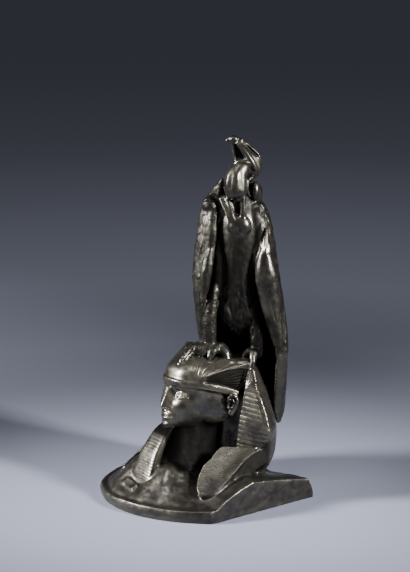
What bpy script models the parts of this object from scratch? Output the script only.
"""Cast bronze table sculpture: a vulture standing on the head of a sphinx, on a low shaped base.

The whole group is one casting, so it is one object. Every form is laid out in millimetres, with the sphinx
looking along -Y and the underside of the base on z = 0. The overlapping forms are welded into one skin by
the object's modifiers: a voxel remesh, a light smoothing, a reduction to facets, and a Boolean that cuts
the underside flat.
"""

import math

import bmesh
import bpy
import numpy as np
from mathutils import Euler, Matrix, Vector

MM = 0.001
NODE = "vulture_on_sphinx_head"
VOXEL = 2.0
FACETS_KEPT = 0.054
FOOT_DEPTH = 6.0
PATINA = (0.075, 0.060, 0.042, 1.0)
PATINA_ROUGHNESS = 0.32

# ---------------------------------------------------------------- base and chest

# plan of the base, counter-clockwise from the middle of its rear
PLAN = [
    (0, 109.5), (40, 109.5), (80, 109.5), (112.5, 109.5), (114.5, 107), (114.5, 80), (114.5, 40), (114.5, 0),
    (114.5, -30), (114.5, -50), (112, -58), (96, -74), (77, -89), (52, -102), (28, -110), (0, -113),
    (-28, -110.5), (-50, -103), (-72, -91), (-88, -74), (-99, -54), (-106, -28), (-110, 0), (-111, 20),
    (-112, 60), (-112, 107), (-110, 109.5), (-80, 109.5), (-40, 109.5),
]
REAR_TOP_Y = 101.5
# (y, height) of the upper edge of the base along each side
LEFT_EDGE = [(-70, 15.0), (-46, 16.5), (-34, 24.5), (-10, 34.5), (12, 40.5), (54, 34.5), (103, 26.0)]
RIGHT_EDGE = [(-70, 13.0), (-30, 13.5), (-14, 18.0), (2, 31.0), (24, 38.0), (58, 34.5), (103, 26.0)]
# each swelling of the chest: its crest across and along the base, its width, its length and its height
CHEST_SWELL = (27, -53, 24, 30, 25)

# ---------------------------------------------------------------- head of the sphinx

HEAD_CENTRE = (0, 8, 133.5)
HEAD_TILT = -9.0
HEAD_POWER = 2.35
# height from the head's centre, half width, depth of face, depth of back of head
HEAD_LEVELS = [
    (-53, 6, 30, 5), (-47, 16, 39, 10), (-36.5, 25.5, 41.5, 20), (-24, 31, 41.5, 30), (-10, 34.5, 41, 38),
    (4, 36.5, 39, 44), (18, 37, 40, 46), (30, 35.5, 37, 42), (40, 28, 28, 30), (46, 17, 17, 18),
    (48, 4, 6, 6),
]

# ---------------------------------------------------------------- headcloth

# z, y of front centre, then (x, y) of temple, facet start, facet end, recess behind the ear, inner edge of
# the flap, ridge, side and rear side, then y of rear centre
HEADCLOTH = [
    (26, 30, (24, 32), (34, 36), (42, 40), (48, 44), (58, 32), (72, 46), (66, 66), (40, 92), 98),
    (40, 30, (24, 32), (34, 36), (42, 42), (48, 46), (60, 31), (82, 47), (76, 68), (44, 94), 101),
    (54, 28, (24, 32), (34, 38), (42, 44), (48, 48), (60, 29), (89, 46), (84, 69), (50, 94), 103),
    (70, 28, (24, 32), (34, 40), (42, 46), (49, 50), (60, 28), (92, 46), (89, 69), (54, 93), 103),
    (92, 28, (24, 32), (34, 40), (42, 46), (50, 50), (61, 30), (102, 48), (89, 70), (54, 92), 102),
    (104, 26, (24, 30), (34, 38), (43, 46), (50, 50), (62, 31), (100, 46.5), (86, 70), (53, 91), 101),
    (118, 22, (24, 28), (34, 36), (44, 45), (51, 49), (64, 33), (95, 46), (80, 69), (50, 90), 100),
    (134, 6, (26, 14), (38, 24), (48, 40), (54, 46), (65.5, 35), (88, 45), (72, 68), (47, 87), 97),
    (140, -10, (30, -4), (43, 12), (54.5, 32), (56, 43), (66.5, 36), (84, 45), (69, 67), (45, 86), 95.5),
    (147.5, -25, (30, -19), (45, 9), (58, 32), (59, 41), (68, 37), (79.5, 45), (65, 66), (43, 83), 92),
    (158, -24, (26, -18), (42, -3), (60.5, 35), (62, 41), (70, 38), (76.5, 45), (62, 64), (40, 79), 88),
    (166, -16, (24, -10), (48, 9), (63, 37.5), (65, 41.5), (70.5, 40), (73.5, 45), (60, 61), (37, 75), 84),
    (172, -2, (22, 4), (52, 22), (65, 40), (66.5, 42), (70, 42), (71.5, 45), (57, 58), (34, 70), 78),
    (176, 8, (22, 14), (54, 34), (66, 42), (67, 43), (69, 43.5), (70, 46), (54, 56), (30, 65), 72),
    (179, 18, (20, 22), (46, 39), (60, 44), (61, 45), (62, 45.5), (63, 47), (50, 53), (28, 60), 66),
]
DOME = ((0, 19, 138), (43.5, 51.5, 42.5))
# height of the dome's lower edge, under the brow band, from front to back
DOME_EDGE = [(-33, 149), (-12, 147.5), (3, 144), (19, 139), (33, 133)]
# (inner edge, outer edge) of the pleated ends lying on the chest, from the shoulder down
LEFT_LAPPET = [
    ((60, 12, 68), (92, 47, 68)), ((58, 4, 73), (91, 41, 71)), ((59, -10, 63), (88.5, 22, 62)),
    ((60, -25, 54.5), (89, 5, 51)), ((67, -40, 40), (92, -18, 37)), ((76, -47, 32), (92.8, -30, 29.5)),
    ((84, -47, 26), (90, -38, 26)),
]
RIGHT_LAPPET = [
    ((-60, 12, 68), (-92, 47, 68)), ((-58, 4, 73), (-91, 41, 71)), ((-58, -12, 60), (-88, 12, 55)),
    ((-56, -30, 52), (-84, -12, 42)), ((-55, -48, 44), (-80, -34, 32)), ((-54, -60, 37), (-72, -54, 27)),
    ((-56, -67, 30), (-67, -61, 24)),
]
LAPPET_DEPTH = (0, 10, -21.6)
BROW_BAND = [
    (-56.5, 33, 136), (-49.5, 19, 141.5), (-42.8, 3, 146.3), (-34, -12.6, 149.6), (-19, -27.0, 151.2),
    (0, -31.2, 151.6),
    (19, -27.0, 151.2), (34, -12.6, 149.6), (42.8, 3, 146.3), (49.5, 19, 141.5), (56.5, 33, 136),
]
# x, y, z, half width and half depth down the false beard
BEARD = [
    (0, -36, 96, 12, 8), (0, -45, 87, 14, 9), (0, -58, 69, 16, 9), (0, -67, 50, 18.5, 9),
    (0, -71, 38, 20, 10), (0, -72, 27, 20, 10), (0, -72, 20, 19, 9),
]
BEARD_POWER = 5.0
TABLET_CENTRE = (-7, -89.5, 26.5)
BEARD_NORMAL = (0, -0.93, -0.37)
# tubes of the neck and throat, and the web that joins the beard to them: path, (across, deep) radii
NECK_TUBES = [
    ([(0, 22, 108), (0, 14, 80), (0, 4, 55), (0, -2, 30)], [(30, 27), (31, 27), (35, 31), (45, 42)]),
    ([(0, -16, 86), (0, -26, 62), (0, -38, 36)], [(21, 17), (29, 21), (38, 26)]),
    ([(0, -3, 84), (0, -12, 58), (0, -20, 34)], [(27, 24), (33, 28), (42, 34)]),
    ([(0, -32, 84), (0, -45, 60), (0, -56, 36)], [(6, 14), (8, 17), (10, 20)]),
]
# heights of a plain face of even proportions, from the middle of the head
EYE_LINE = -3.0
NOSE_LINE = -21.5
MOUTH_LINE = -32.0
CHIN_LINE = -45.0
# a plain ear of even proportions, in its own frame: to its rear, up, outward
EAR_CENTRE = (51.5, 26.5, 122.5)
EAR_REAR = (0.42, 0.90, 0.0)
EAR_UP = (0.06, 0.18, 1.0)
EAR_HELIX = [
    (-3.4, 1.0, 0.8), (-5.0, 5, 2.4), (-4.4, 9.5, 3.4), (-0.8, 12.8, 3.8), (3.8, 11.8, 4.2), (6.6, 7.5, 4.4),
    (6.6, 1.5, 4.0), (4.6, -4.5, 3.2), (2.0, -9, 2.2),
]

# ---------------------------------------------------------------- vulture

# the bird has its own frame: s to its left, f ahead of it, z up, standing at STAND and facing FACING
STAND = (32.0, 52.0)
FACING = math.radians(47.0)
# z, then (s, f, half thickness) of the leading edge, middle and trailing edge
LEFT_WING = [
    (384, (16, -14, 3), (20, -20, 4), (18, -32, 3)),
    (377, (17, -2, 5), (23, -16, 5), (17, -38, 4)),
    (368, (20, 6, 6), (29, -10, 6), (17, -42, 5)),
    (354, (26, 11, 6), (34, -8, 6.5), (18, -47, 4)),
    (336, (29, 15, 4), (38, -5, 6), (18, -50, 3.5)),
    (322, (30, 18, 5), (41, -4, 6), (18, -50, 3.5)),
    (290, (31, 19, 6), (46, -2, 5.5), (18, -50, 3)),
    (252, (37, 18, 5), (52.5, -2, 5), (19, -50, 3)),
    (213, (46, 16, 4), (58, -2, 4.5), (21, -50, 3)),
    (185, (50, 14, 3.5), (59.5, -3, 4), (23, -50, 3)),
    (148, (48, 10, 3), (59, -4, 3.5), (25, -48, 3)),
    (115, (47, 4, 2.6), (57.5, -10, 3), (28, -44, 2.6)),
    (98, (49, -1, 2.2), (55, -13, 2.6), (34, -38, 2.2)),
    (88, (51, -8, 1.5), (53, -16, 2), (42, -30, 1.5)),
]
RIGHT_WING = [
    (398, (-21, -6, 3), (-25, -14, 3), (-20, -30, 3)),
    (388, (-23, 0, 4), (-29, -12, 5), (-21, -36, 4)),
    (374, (-25, 10, 6), (-37.5, -10, 7), (-20, -42, 5)),
    (350, (-26, 15, 6), (-43, -6, 7), (-18, -48, 4)),
    (321, (-28, 17, 5), (-48, -4, 6), (-18, -50, 3.5)),
    (282, (-33, 18, 4.5), (-51, -4, 6), (-18, -50, 3)),
    (237, (-43, 14, 3), (-48.5, -5, 4.5), (-18, -50, 3)),
    (205, (-42, 6, 3), (-45, -10, 4), (-20, -48, 3)),
    (170, (-38, -2, 3), (-41, -16, 3.5), (-20, -47, 3)),
    (130, (-34, -10, 2.6), (-36, -22, 3), (-20, -46, 2.6)),
    (106, (-32, -18, 2), (-33, -26, 2.4), (-22, -44, 2)),
    (98, (-31, -22, 1.5), (-31, -28, 1.8), (-25, -40, 1.5)),
]
TAIL = [
    (386, (-16, -38, 3), (0, -40, 5), (16, -38, 3)),
    (360, (-20, -44, 4), (0, -48, 6), (20, -44, 4)),
    (330, (-22, -47, 4), (0, -52, 6), (22, -47, 4)),
    (260, (-22, -48, 3.5), (0, -54, 5), (22, -48, 3.5)),
    (180, (-22, -48, 3.2), (0, -54, 4), (24, -48, 3.2)),
    (120, (-20, -47, 3), (0, -53, 3.6), (22, -47, 3)),
    (84, (-16, -46, 2.6), (0, -51, 3), (18, -46, 2.6)),
    (72, (-10, -46, 2), (0, -50, 2.4), (12, -46, 2)),
]
# tubes of the body: path, then (across, deep) radii
BODY_TUBES = [
    # trunk, from the shoulders to the ragged lower edge of the belly
    ([(2, -8, 372), (3, -7, 350), (2, -9, 318), (1, -11, 280), (1, -12, 250), (2, -14, 224), (3, -16, 206)],
     [(25, 22), (31, 27), (30, 28), (29, 28), (28, 26), (25, 22), (19, 14)]),
    ([(2, -24, 388), (0, -32, 350), (0, -36, 300), (0, -40, 250)], [(20, 14), (28, 16), (26, 15), (20, 10)]),
    # neck behind, and the hanging bulb in front of it with its stalk
    ([(18, 4, 420), (10, 0, 407), (4, -4, 390), (2, -8, 366)], [12, 9.5, 12, 21]),
    ([(7, 14, 424), (0, 17, 414), (-2, 18, 403), (-2, 18.5, 393), (-1, 19, 387), (0, 19, 383.5)],
     [10, 13, 14.2, 13.8, 11, 4]),
    ([(6, 18, 390), (7.5, 19.5, 379), (7.5, 20, 368), (7, 18, 358)], [5, 3.8, 3.4, 4.5]),
    # crest of the right shoulder
    ([(-20.5, -8, 403), (-24, -8, 396), (-30, -7, 386), (-35, -5, 378)], [2.0, 3.2, 5, 6.5]),
    # cords of the throat
    ([(-20, 12, 382), (-14, 18.5, 369.5), (-8, 22.5, 357)], [(3.4, 2.6), (3.0, 2.0), (3.4, 2.4)]),
    ([(-12, 14.5, 383), (-8, 19.5, 370), (-4, 23, 357)], [(3.2, 2.4), (2.6, 1.8), (3.0, 2.2)]),
    ([(-16, 10.5, 384), (-11, 16.5, 370), (-6, 21, 357)], [(6, 2.5), (5, 2.5), (4, 2.5)]),
    # bend of each folded wing
    ([(37, 15, 345), (37, 17, 328), (35, 18, 306), (37, 18, 284), (44, 15, 240), (53, 11, 196),
      (57, 8, 180)],
     [2.2, 4, (10.5, 8), (14, 10), (11, 8), (6, 5), 3]),
    ([(-33, 17, 318), (-38, 18, 292), (-42, 15, 254)], [3, (7.5, 6), 3]),
    # flank behind the right wing
    ([(-19, -2, 348), (-21, 0, 322), (-22, 1, 292), (-22, 2, 262)], [8, 10, 10, 8]),
    # legs
    ([(-25, 4, 280), (-29, 8, 262), (-34, 8, 236), (-35, 7, 214), (-34, 4, 188)], [2.5, 5.4, 8.6, 9, 8]),
    ([(17, -6, 250), (23, 0, 228), (25, 5, 208), (25, 8, 184)], [11, 10, 8.7, 7.7]),
]
# swellings of the body: centre, radii, turn in degrees
BODY_BALLS = [
    ((21.4, 5, 391.0), (6.0, 7.5, 12.5), (0, 3, 0)), ((22, -15, 386), (8, 12, 12), (0, 0, 0)),
    ((-34, 0, 373), (11, 14, 11), (0, 0, 0)), ((26, 0, 366), (9, 12, 12), (0, 0, 0)),
    ((-2, 18, 351), (8.5, 7, 12), (0, 18, 0)), ((8, 18, 351), (8.5, 7, 12), (0, -18, 0)),
    ((2.5, 17.5, 340), (7, 6, 9), (0, 0, 0)), ((20, 0, 353), (15, 15, 26), (0, 8, 0)),
    ((-18, -4, 362), (13, 16, 24), (0, -8, 0)), ((-13, -4, 242), (14, 15, 26), (8, -8, 0)),
    ((-3, 8, 371), (15, 9.5, 15), (0, 0, 0)), ((23, 2, 328), (10, 12, 28), (0, 0, 0)),
    ((28.5, 7.5, 338), (8, 9, 17), (0, 0, 0)), ((24, 6, 314), (9, 10, 24), (0, 0, 0)),
    ((15, -4, 240), (15, 15, 28), (8, 8, 0)), ((17, 4, 420), (12.5, 12, 13.5), (0, -30, 0)),
    ((-4.5, 14.5, 456.6), (6.2, 5.2, 4.8), (0, 0, 0)), ((4.3, 13, 455.4), (2.8, 2.8, 2.8), (0, 0, 0)),
]
# tubes of the bird's head, in the bird's frame: path, radii, direction of the first radius
HEAD_TUBES = [
    # cranium and upper beak, and the hook at its tip
    ([(18, 4, 420), (16, 6, 432), (11, 8.5, 443), (5, 11, 449.5), (0, 13, 453), (-5, 14, 455)],
     [12, 10.4, 8.0, 5.8, 5.0, 4.6], (0, 1, 0)),
    ([(-7, 14.5, 457), (-10.4, 14.5, 456.6), (-12.8, 14.5, 455), (-14, 14.5, 452)],
     [3.4, 2.6, 2.3, 1.6], (0, 1, 0)),
    # lower jaw and cheek
    ([(7, 13, 424), (2.8, 14, 434), (-1.2, 15, 443), (-4, 15.5, 451)],
     [(11, 5), (8.4, 4.6), (5.8, 4), (3.6, 3)], (0.95, 0, 0.2)),
    ([(0, 16, 453), (6.5, 18, 446), (13, 19, 437.5), (19, 18.5, 428), (22, 16, 420)],
     [2, 2.6, 3.0, 3.0, 2.6], (0, 1, 0)),
]
# toes in the frame of the base, from the foot to the start of the claw, and then the claw
TOES = [
    ([(12, 28, 186), (10, 18, 189.5), (7, 8, 190), (3, 1, 187)], [7.2, 6.6, 7.4, 6.2],
     [(3, 2, 187), (3.5, -6, 183.5), (4.2, -13, 178), (4, -19, 172)], [6.2, 5.8, 5.2, 3.8]),
    ([(9, 28, 188), (2, 22, 189.5), (-5, 18, 189), (-10, 15, 186.5)], [6.4, 6.2, 6.4, 5.0],
     [(-10, 15, 187), (-15, 12, 183), (-19, 9, 177), (-20, 7, 171)], [4.8, 4.0, 3.0, 1.2]),
    ([(14, 30, 188), (15, 22, 190), (14, 14, 189), (12, 9, 185)], [6.6, 6.4, 6.2, 5.2],
     [(12, 10, 186), (11, 6.5, 183.5), (11, 4, 180)], [4.4, 3.6, 2.2]),
    ([(15, 32, 188), (19, 27, 189.5), (21.5, 22, 188.5), (22, 18.5, 186)], [6.4, 6.4, 6.4, 5.6],
     [(22, 19, 186), (22.5, 15.5, 183), (22.8, 13.5, 180)], [4.6, 3.8, 2.4]),
    ([(15, 32, 189), (22, 34, 189.5), (27.5, 35, 184), (31.5, 35.5, 176)], [6.4, 7.2, 7.4, 6.6],
     [(31.5, 35, 177), (34.5, 34, 170), (36.5, 33, 163)], [6.2, 5.0, 3.0]),
    ([(57, 62, 184), (61, 56, 187.5), (65, 51, 187), (67.5, 48, 183)], [6.0, 5.6, 5.6, 4.6],
     [(67.5, 49, 184), (70, 46, 178.5), (71.5, 44, 171)], [4.4, 3.6, 1.8]),
    ([(56, 62, 184), (51, 58, 187), (46, 56, 184)], [5.8, 5.4, 4.8],
     [(46, 56, 184), (43, 54, 180), (41, 53, 174)], [4.0, 3.2, 1.6]),
]


# ---------------------------------------------------------------- drawing tools

def unit(vector):
    vector = np.asarray(vector, float)
    return vector / np.linalg.norm(vector)


def ease(value, low, high):
    """0 below low, 1 above high, smooth between."""
    t = np.clip((value - low) / (high - low), 0, 1)
    return t * t * (3 - 2 * t)


def smooth_line(knots, count):
    """Points along a Catmull-Rom curve through knots of any dimension."""
    k = np.asarray(knots, float)
    k = np.vstack([2 * k[0] - k[1], k, 2 * k[-1] - k[-2]])
    t = np.linspace(0, len(k) - 3 - 1e-9, count)
    i = t.astype(int)
    u = (t - i)[:, None]
    a, b, c, d = k[i], k[i + 1], k[i + 2], k[i + 3]
    square = 2 * a - 5 * b + 4 * c - d
    cube = 3 * b - a - 3 * c + d
    return 0.5 * (2 * b + (c - a) * u + square * u**2 + cube * u**3)


def loft(work, rings):
    """Skins equal rings of points into a closed body, its two ends filled."""
    loops = [[work.verts.new(point * MM) for point in ring] for ring in np.asarray(rings, float)]
    for lower, upper in zip(loops, loops[1:]):
        for k in range(len(lower)):
            n = (k + 1) % len(lower)
            work.faces.new((lower[k], lower[n], upper[n], upper[k]))
    work.faces.new(loops[0][::-1])
    work.faces.new(loops[-1])


def oval(angle, across, deep, power=2.0):
    """Plan coordinates of a superellipse at each angle."""
    c, s = np.cos(angle), np.sin(angle)
    u = across * np.sign(c) * np.abs(c) ** (2 / power)
    v = deep * np.sign(s) * np.abs(s) ** (2 / power)
    return u, v


def tube(work, path, radii, side=(1, 0, 0), frame=None, steps=36, around=20, ends=4):
    """A round-ended tube along a smooth curve. A radius is one number, or (across, deep)."""
    line = smooth_line(path, steps)
    size = smooth_line([r if isinstance(r, tuple) else (r, r) for r in radii], steps)
    along = np.gradient(line, axis=0)
    along /= np.linalg.norm(along, axis=1)[:, None]
    angle = np.linspace(0, 2 * math.pi, around, endpoint=False)
    stations = []
    for k in range(1, ends + 1):
        turn = math.pi / 2 * k / ends
        shrink = max(math.cos(turn), 0.02)
        first = line[0] - along[0] * size[0].min() * math.sin(turn)
        last = line[-1] + along[-1] * size[-1].min() * math.sin(turn)
        stations.insert(0, (first, along[0], size[0] * shrink))
        stations.append((last, along[-1], size[-1] * shrink))
    stations[ends:ends] = list(zip(line, along, size))
    rings = []
    for centre, direction, (across, deep) in stations:
        u = unit(np.asarray(side, float) - np.dot(side, direction) * direction)
        v = np.cross(direction, u)
        x, y = oval(angle, across, deep)
        rings.append(placed(centre + np.outer(x, u) + np.outer(y, v), frame))
    loft(work, rings)


def placed(points, frame):
    """Points in millimetres moved by a 4 x 4 frame, if there is one."""
    if frame is None:
        return points
    matrix = np.array(frame)
    return points @ matrix[:3, :3].T + matrix[:3, 3]


def ball(work, centre, radii, turn=(0, 0, 0), frame=None):
    """An ellipsoid, turned in degrees about its own centre."""
    matrix = Matrix.LocRotScale(Vector(centre), Euler(np.radians(turn)), Vector(radii))
    if frame is not None:
        matrix = frame @ matrix
    in_metres = Matrix.Scale(MM, 4) @ matrix
    bmesh.ops.create_uvsphere(work, u_segments=28, v_segments=20, radius=1, matrix=in_metres)


# ---------------------------------------------------------------- sphinx

def ground(x, y):
    """Height of the base's upper surface."""
    left = np.interp(y, *zip(*LEFT_EDGE))
    right = np.interp(y, *zip(*RIGHT_EDGE))
    slab = right + (left - right) * ease(x, -20, 20)
    middle = 1 - ease(np.abs(x), 35, 112)
    slab = slab * (1 - 0.34 * ease(y, 30, 100) * middle)
    inside = np.clip(1 - (x / 97) ** 2 - ((y + 14) / 90) ** 2, 0, None)
    across, along, wide, long, high = CHEST_SWELL
    from_crest = np.hypot((np.abs(x) - across) / wide, (y - along) / long)
    from_other = np.hypot((np.abs(x) + across) / wide, (y - along) / long)
    swell = high * (np.exp(-(from_crest**2.4)) + np.exp(-(from_other**2.4)))
    chest_plate = np.where(inside > 0, 14.5 + 19 * inside**0.7 + swell, 0)
    gap = np.abs(slab - chest_plate)
    return np.maximum(slab, chest_plate) + 0.25 * np.clip(4 - gap, 0, None) ** 2 / 4


def base(work):
    plan = smooth_line(PLAN + PLAN[:1], 240)[:-1]
    rings = [np.c_[plan, np.full(len(plan), -FOOT_DEPTH)], np.c_[plan, np.zeros(len(plan))]]
    upper = np.c_[plan[:, 0], np.minimum(plan[:, 1], REAR_TOP_Y)]
    for share in np.concatenate([[1.0], np.linspace(0.985, 0.004, 40)]):
        inset = upper * share
        rings.append(np.c_[inset, ground(inset[:, 0], inset[:, 1])])
    loft(work, rings)


def bump(u, w, centre_u, centre_w, size_u, size_w):
    return np.exp(-(((u - centre_u) / size_u) ** 2) - ((w - centre_w) / size_w) ** 2)


def face_relief(u, w):
    """Forward relief of a calm, symmetric face; u is across the face and w is up from its middle."""
    a = np.abs(u)
    relief = -5.2 * bump(a, w, 15.5, EYE_LINE, 8.5, 5.5) - 3.0 * bump(a, w, 9, EYE_LINE, 4, 6)
    relief += 3.6 * bump(a, w, 15.5, EYE_LINE - 0.8, 6.4, 3.8)
    fall = np.clip((EYE_LINE + 7.5 - w) / 26, 0, 1)
    on_nose = ease(w, NOSE_LINE - 1.5, NOSE_LINE + 2) * (1 - ease(w, EYE_LINE + 4.5, EYE_LINE + 12))
    relief += (4.6 + 6.2 * fall) * on_nose * np.exp(-1.3 * (u / (3.4 + 3.6 * fall)) ** 2)
    relief += 2.6 * bump(a, w, 6.6, NOSE_LINE + 2.4, 2.6, 3.0)
    relief += 2.2 * bump(a, w, 21, NOSE_LINE + 4, 10, 9) - 1.2 * bump(a, w, 19, MOUTH_LINE, 8, 8)
    relief += 2.6 * bump(u, w, 0, MOUTH_LINE, 13, 7.0)
    relief += 1.7 * bump(a, w, 3.5, MOUTH_LINE + 2.7, 6, 1.8)
    relief += 2.0 * bump(u, w, 0, MOUTH_LINE - 3.0, 7.5, 2.1)
    relief += 3.4 * bump(u, w, 0, CHIN_LINE, 10, 5.5) - 1.8 * bump(u, w, 0, CHIN_LINE + 6.8, 9, 2.2)
    relief -= 2.2 * bump(u, w, 0, MOUTH_LINE, 11.5, 1.2)
    return relief


def head(work):
    levels = smooth_line(HEAD_LEVELS, 80)
    frame = Matrix.Translation(HEAD_CENTRE) @ Matrix.Rotation(math.radians(HEAD_TILT), 4, "X")
    angle = np.linspace(0, 2 * math.pi, 140, endpoint=False)
    forward = ease(np.sin(angle), 0.05, 0.55)
    rings = []
    for w, half, front, back in levels:
        u, v = oval(angle, half, 1.0, HEAD_POWER)
        v = v * np.where(v > 0, front, back) + face_relief(u, np.full_like(u, w)) * forward
        rings.append(placed(np.stack([u, -v, np.full_like(u, w)], -1), frame))
    loft(work, rings)


def headcloth(work, levels=90, across=60):
    table = []
    for z, front, *points, rear in HEADCLOTH:
        corners = [(0, front), *points, (0, rear)]
        table.append([z] + [value for corner in corners for value in corner])
    rings = []
    for row in smooth_line(table, levels):
        corners = row[1:].reshape(-1, 2)
        t = np.linspace(0, len(corners) - 1 - 1e-9, across)
        i = t.astype(int)
        straight = corners[i] + (corners[i + 1] - corners[i]) * (t - i)[:, None]
        half = 0.4 * smooth_line(corners, across) + 0.6 * straight
        ring = np.vstack([half, half[1:-1][::-1] * (-1, 1)])
        rings.append(np.c_[ring, np.full(len(ring), row[0])])
    loft(work, rings)


def lappet(work, edges):
    rings = []
    share = np.linspace(0, 1, 12)
    for row in smooth_line([inner + outer for inner, outer in edges], 50):
        inner, outer = row[:3], row[3:]
        top = inner + np.outer(share, outer - inner)
        top[:, 2] += np.sin(share * math.pi)
        rings.append(np.vstack([top, top[::-1] + LAPPET_DEPTH]))
    loft(work, rings)


def beard(work):
    angle = np.linspace(0, 2 * math.pi, 40, endpoint=False)
    rings = []
    for x, y, z, half, deep in smooth_line(BEARD, 50):
        u, v = oval(angle, half, deep, BEARD_POWER)
        rings.append((x, y, z) + np.outer(u, (1, 0, 0)) + np.outer(v, BEARD_NORMAL))
    loft(work, rings)


def tablet(work):
    """A blank raised tablet lying on the chest in front of the beard."""
    long_way = unit((1.0, -0.15, -0.09))
    short_way = unit((0.15, 1.0, 0.75))
    upward = np.cross(long_way, short_way)
    angle = np.linspace(0, 2 * math.pi, 48, endpoint=False)
    rings = []
    for height in (-8, 1.6):
        u, v = oval(angle, 13.5, 5.2, 9.0)
        rings.append(TABLET_CENTRE + np.outer(u, long_way) + np.outer(v, short_way) + upward * height)
    loft(work, rings)


def dome(work):
    """The crown of the headcloth; what would lie below the brow band is drawn into the head."""
    (x, y, z), (across, deep, high) = DOME
    down = np.linspace(0.02, math.pi - 0.02, 48)
    around = np.linspace(0, 2 * math.pi, 56, endpoint=False)
    rings = []
    for angle in down:
        level = math.sin(angle)
        ring = np.stack([x + across * level * np.cos(around), y + deep * level * np.sin(around),
                         np.full_like(around, z + high * math.cos(angle))], -1)
        under = ring[:, 2] < np.interp(ring[:, 1], *zip(*DOME_EDGE))
        rings.append(np.where(under[:, None], ring * (0.72, 0.3, 1) + (0, 21, 0), ring))
    loft(work, rings)


def ear(work, side):
    """Rim and lobe on a plate, and the side of the head that carries them."""
    rear = unit(EAR_REAR)
    outward = unit(np.cross(rear, EAR_UP))
    turn = Matrix([rear, np.cross(outward, rear), outward]).transposed().to_4x4()
    mirror = Matrix.Diagonal((side, 1, 1, 1))
    frame = mirror @ Matrix.Translation(EAR_CENTRE) @ turn
    tube(work, EAR_HELIX, [1.6, 1.8, 2.0, 2.1, 2.1, 2.1, 2.0, 2.0, 2.0], frame=frame)
    ball(work, (1.0, 0.5, -0.6), (6.8, 12.4, 2.8), frame=frame)
    ball(work, (-0.8, -10.4, 1.6), (3.8, 4.2, 2.6), frame=frame)
    ball(work, (33, 14, 122), (8.6, 29, 27), (0, 0, -23), mirror)


def sphinx(work):
    base(work)
    for path, radii in NECK_TUBES:
        tube(work, path, radii)
    head(work)
    for side in (-1, 1):
        ear(work, side)
    beard(work)
    tablet(work)
    headcloth(work)
    dome(work)
    tube(work, BROW_BAND, [(4.6, 1.6)] * len(BROW_BAND), side=(0, 0, 1), steps=60)
    lappet(work, LEFT_LAPPET)
    lappet(work, RIGHT_LAPPET)


# ---------------------------------------------------------------- vulture

def bird_frame():
    """Turns the bird's own axes into those of the base."""
    side = (math.cos(FACING), math.sin(FACING), 0)
    ahead = (math.sin(FACING), -math.cos(FACING), 0)
    turn = Matrix((side, ahead, (0, 0, 1))).transposed()
    return Matrix.Translation((*STAND, 0)) @ turn.to_4x4()


def blade(work, levels, frame, steps=60, along=24):
    """A wing or tail: a thin curved body with a blunt leading edge and a sharp trailing edge."""
    share = np.linspace(0, 1, along)
    nose = np.clip(1 - share / 0.12, 0, 1)
    rear = np.clip(1 - (1 - share) / 0.06, 0, 1)
    rounding = np.sqrt(np.clip(1 - nose**2, 0.02, 1) * np.clip(1 - rear**2, 0.02, 1))
    rings = []
    for row in smooth_line([[z, *a, *b, *c] for z, a, b, c in levels], steps):
        line = smooth_line(row[1:].reshape(3, 3), along)
        tangent = np.gradient(line[:, :2], axis=0)
        tangent /= np.linalg.norm(tangent, axis=1)[:, None]
        normal = np.stack([-tangent[:, 1], tangent[:, 0]], -1) * (line[:, 2] * rounding)[:, None]
        ring = np.vstack([line[:, :2] + normal, (line[:, :2] - normal)[::-1]])
        rings.append(placed(np.c_[ring, np.full(len(ring), row[0])], frame))
    loft(work, rings)


def vulture(work):
    bird = bird_frame()
    for levels in (LEFT_WING, RIGHT_WING, TAIL):
        blade(work, levels, bird)
    for path, radii in BODY_TUBES:
        tube(work, path, radii, frame=bird)
    for centre, radii, turn in BODY_BALLS:
        ball(work, centre, radii, turn, bird)
    for path, radii, side in HEAD_TUBES:
        tube(work, path, radii, side, bird)
    for toe, toe_radii, claw, claw_radii in TOES:
        tube(work, toe, toe_radii)
        tube(work, claw, claw_radii)


# ---------------------------------------------------------------- the casting

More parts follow.
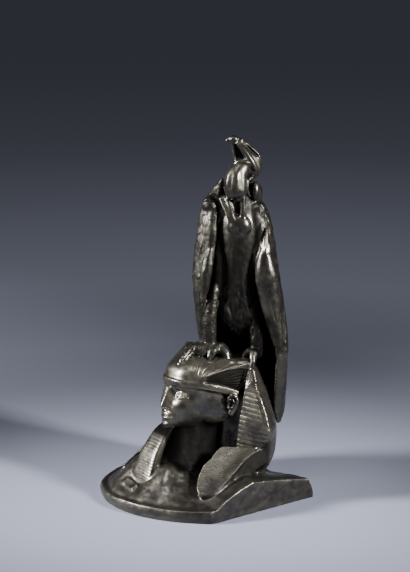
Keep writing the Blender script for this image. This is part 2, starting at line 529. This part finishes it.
def object_of(name, work):
    """A new object holding the bmesh."""
    mesh = bpy.data.meshes.new(name)
    work.to_mesh(mesh)
    work.free()
    made = bpy.data.objects.new(name, mesh)
    bpy.context.scene.collection.objects.link(made)
    return made


def bronze():
    material = bpy.data.materials.new("bronze")
    material.use_nodes = True
    shader = material.node_tree.nodes["Principled BSDF"]
    shader.inputs["Base Color"].default_value = PATINA
    shader.inputs["Metallic"].default_value = 1.0
    shader.inputs["Roughness"].default_value = PATINA_ROUGHNESS
    return material


def underside_cutter():
    """A slab whose upper face lies on z = 0."""
    work = bmesh.new()
    size = Matrix.Diagonal((0.4, 0.4, 0.04, 1))
    bmesh.ops.create_cube(work, size=1, matrix=Matrix.Translation((0, 0, -0.02)) @ size)
    cutter = object_of("underside_cutter", work)
    cutter.hide_render = True
    cutter.display_type = "WIRE"
    return cutter


def weld(casting):
    """Adds the modifiers that turn the overlapping forms into one faceted skin."""
    remesh = casting.modifiers.new("weld", "REMESH")
    remesh.mode = "VOXEL"
    remesh.voxel_size = VOXEL * MM
    remesh.use_smooth_shade = True
    smooth = casting.modifiers.new("soften", "SMOOTH")
    smooth.factor = 0.5
    smooth.iterations = 2
    facets = casting.modifiers.new("facets", "DECIMATE")
    facets.ratio = FACETS_KEPT
    facets.use_collapse_triangulate = True
    flat = casting.modifiers.new("flat_underside", "BOOLEAN")
    flat.operation = "DIFFERENCE"
    flat.object = underside_cutter()


def centre_on_base(casting):
    """Moves the casting so that its bounding box is centred over the origin."""
    graph = bpy.context.evaluated_depsgraph_get()
    solid = casting.evaluated_get(graph).to_mesh()
    spots = np.array([vertex.co for vertex in solid.vertices])
    middle = (spots.min(0) + spots.max(0)) / 2
    casting.location = (-middle[0], -middle[1], 0)


def build():
    for obj in list(bpy.data.objects):
        bpy.data.objects.remove(obj)
    work = bmesh.new()
    sphinx(work)
    vulture(work)
    bmesh.ops.recalc_face_normals(work, faces=work.faces[:])
    casting = object_of(NODE, work)
    casting.data.materials.append(bronze())
    weld(casting)
    centre_on_base(casting)


build()
